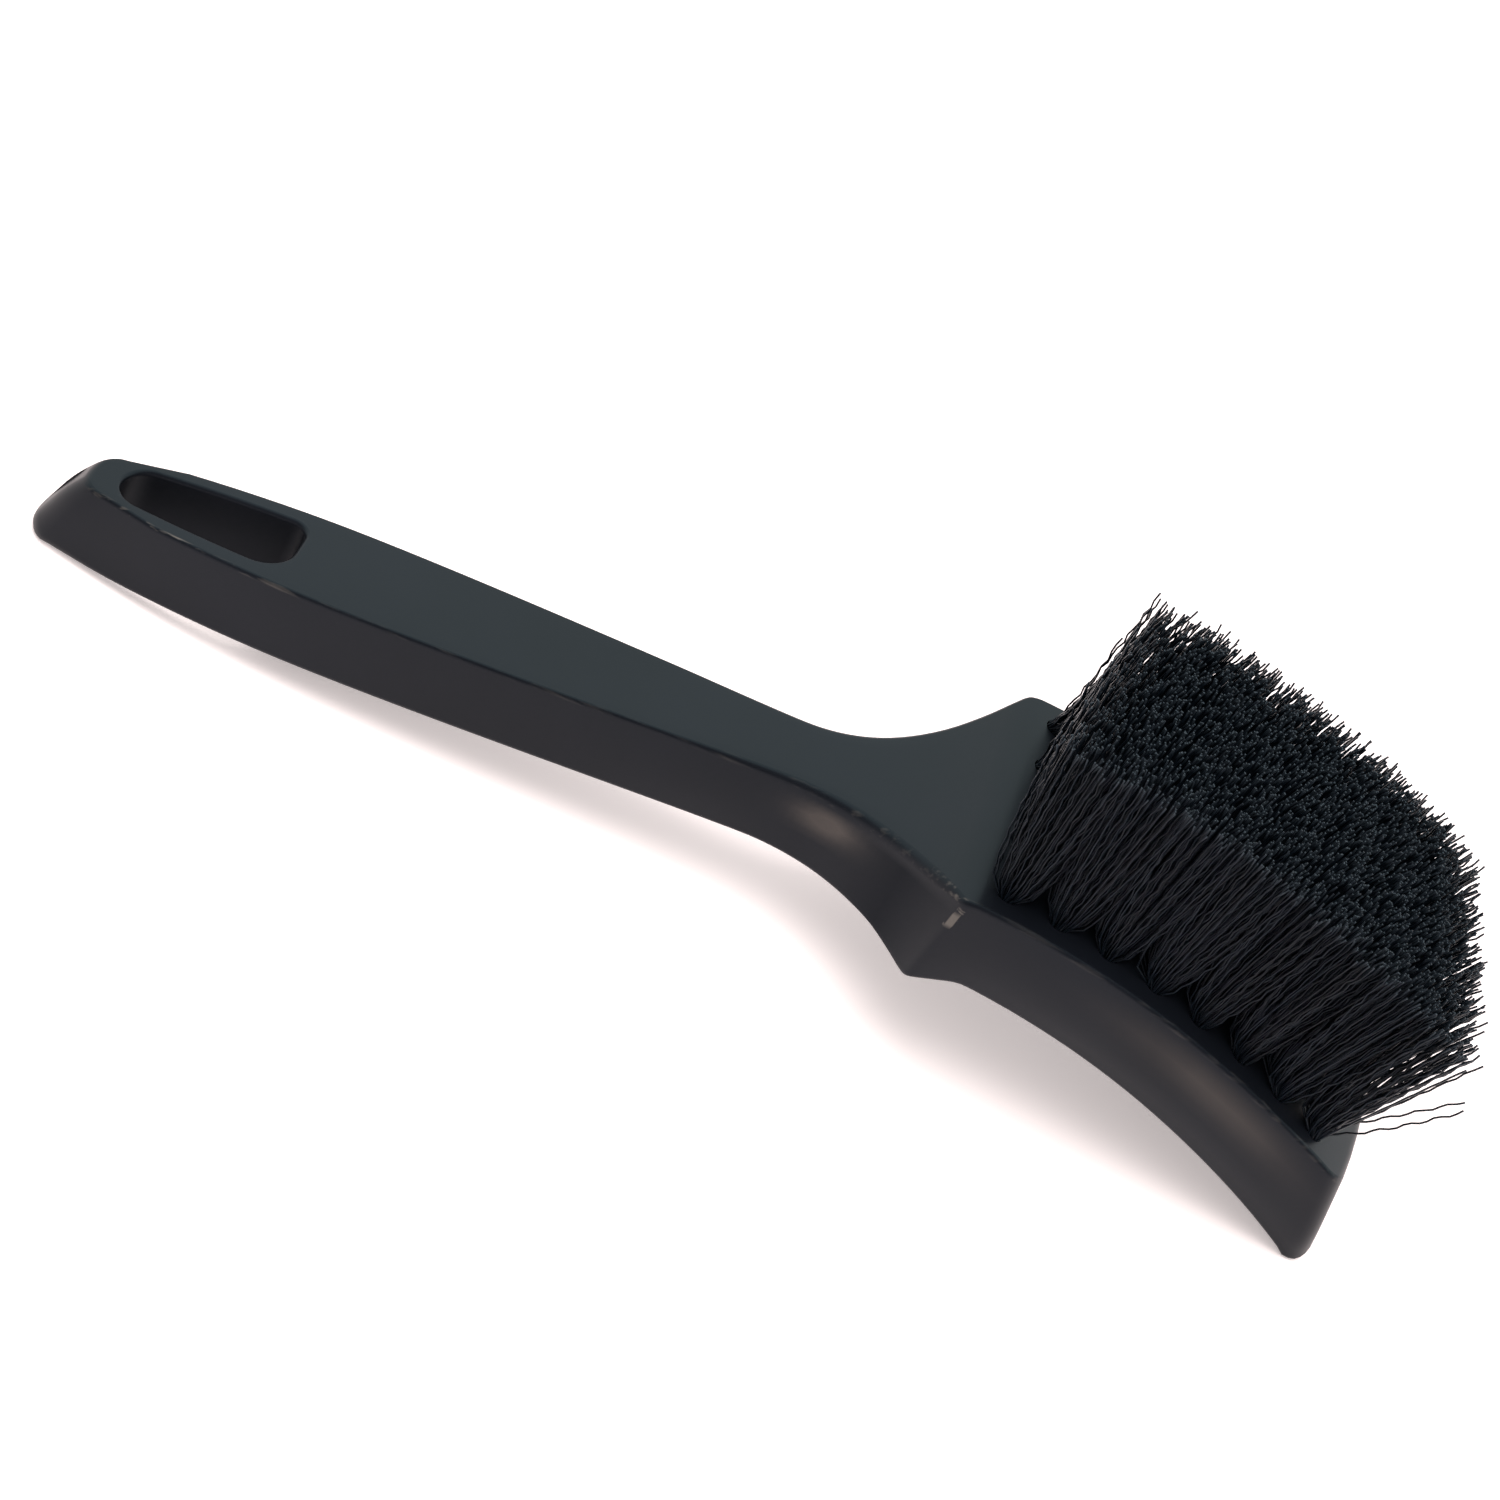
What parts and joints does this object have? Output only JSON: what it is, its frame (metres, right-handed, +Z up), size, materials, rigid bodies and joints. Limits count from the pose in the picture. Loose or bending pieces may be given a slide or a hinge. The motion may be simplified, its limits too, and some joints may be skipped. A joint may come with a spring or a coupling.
{
  "type": "wheel brush",
  "caption": "Black hand brush for tyres and wheels: a straight moulded handle with a tapered hanging eye and a wide curved block set with rows of stiff, fanned bristle tufts.",
  "frame": {"origin": "under the middle of the whole brush's length and width, on the plane that the heel of the handle and the toe of the block rest on", "axes": "+X from the tail of the handle to the toe of the block, +Y across the block, +Z up the bristles"},
  "size_m": [0.252, 0.06, 0.0703],
  "materials": {
    "moulded_polypropylene": "fine satin as moulded, black",
    "nylon_bristle": "crimped filament, black",
    "anchor_wire": "flat drawn wire"
  },
  "bodies": {
    "root": {"handle_block": "moulded_polypropylene", "tuft_row1_1": "nylon_bristle", "tuft_row1_2": "nylon_bristle", "tuft_row1_3": "nylon_bristle", "tuft_row1_4": "nylon_bristle", "tuft_row1_5": "nylon_bristle", "tuft_row1_6": "nylon_bristle", "tuft_row1_7": "nylon_bristle", "tuft_row1_8": "nylon_bristle", "tuft_row2_1": "nylon_bristle", "tuft_row2_2": "nylon_bristle", "tuft_row2_3": "nylon_bristle", "tuft_row2_4": "nylon_bristle", "tuft_row2_5": "nylon_bristle", "tuft_row2_6": "nylon_bristle", "tuft_row2_7": "nylon_bristle", "tuft_row2_8": "nylon_bristle", "tuft_row3_1": "nylon_bristle", "tuft_row3_2": "nylon_bristle", "tuft_row3_3": "nylon_bristle", "tuft_row3_4": "nylon_bristle", "tuft_row3_5": "nylon_bristle", "tuft_row3_6": "nylon_bristle", "tuft_row3_7": "nylon_bristle", "tuft_row3_8": "nylon_bristle", "tuft_row4_1": "nylon_bristle", "tuft_row4_2": "nylon_bristle", "tuft_row4_3": "nylon_bristle", "tuft_row4_4": "nylon_bristle", "tuft_row4_5": "nylon_bristle", "tuft_row4_6": "nylon_bristle", "tuft_row4_7": "nylon_bristle", "tuft_row4_8": "nylon_bristle", "tuft_row5_1": "nylon_bristle", "tuft_row5_2": "nylon_bristle", "tuft_row5_3": "nylon_bristle", "tuft_row5_4": "nylon_bristle", "tuft_row5_5": "nylon_bristle", "tuft_row5_6": "nylon_bristle", "tuft_row5_7": "nylon_bristle", "tuft_row5_8": "nylon_bristle", "anchor_row1_1": "anchor_wire", "anchor_row1_2": "anchor_wire", "anchor_row1_3": "anchor_wire", "anchor_row1_4": "anchor_wire", "anchor_row1_5": "anchor_wire", "anchor_row1_6": "anchor_wire", "anchor_row1_7": "anchor_wire", "anchor_row1_8": "anchor_wire", "anchor_row5_1": "anchor_wire", "anchor_row5_2": "anchor_wire", "anchor_row5_3": "anchor_wire", "anchor_row5_4": "anchor_wire", "anchor_row5_5": "anchor_wire", "anchor_row5_6": "anchor_wire", "anchor_row5_7": "anchor_wire", "anchor_row5_8": "anchor_wire"}
  },
  "joints": []
}
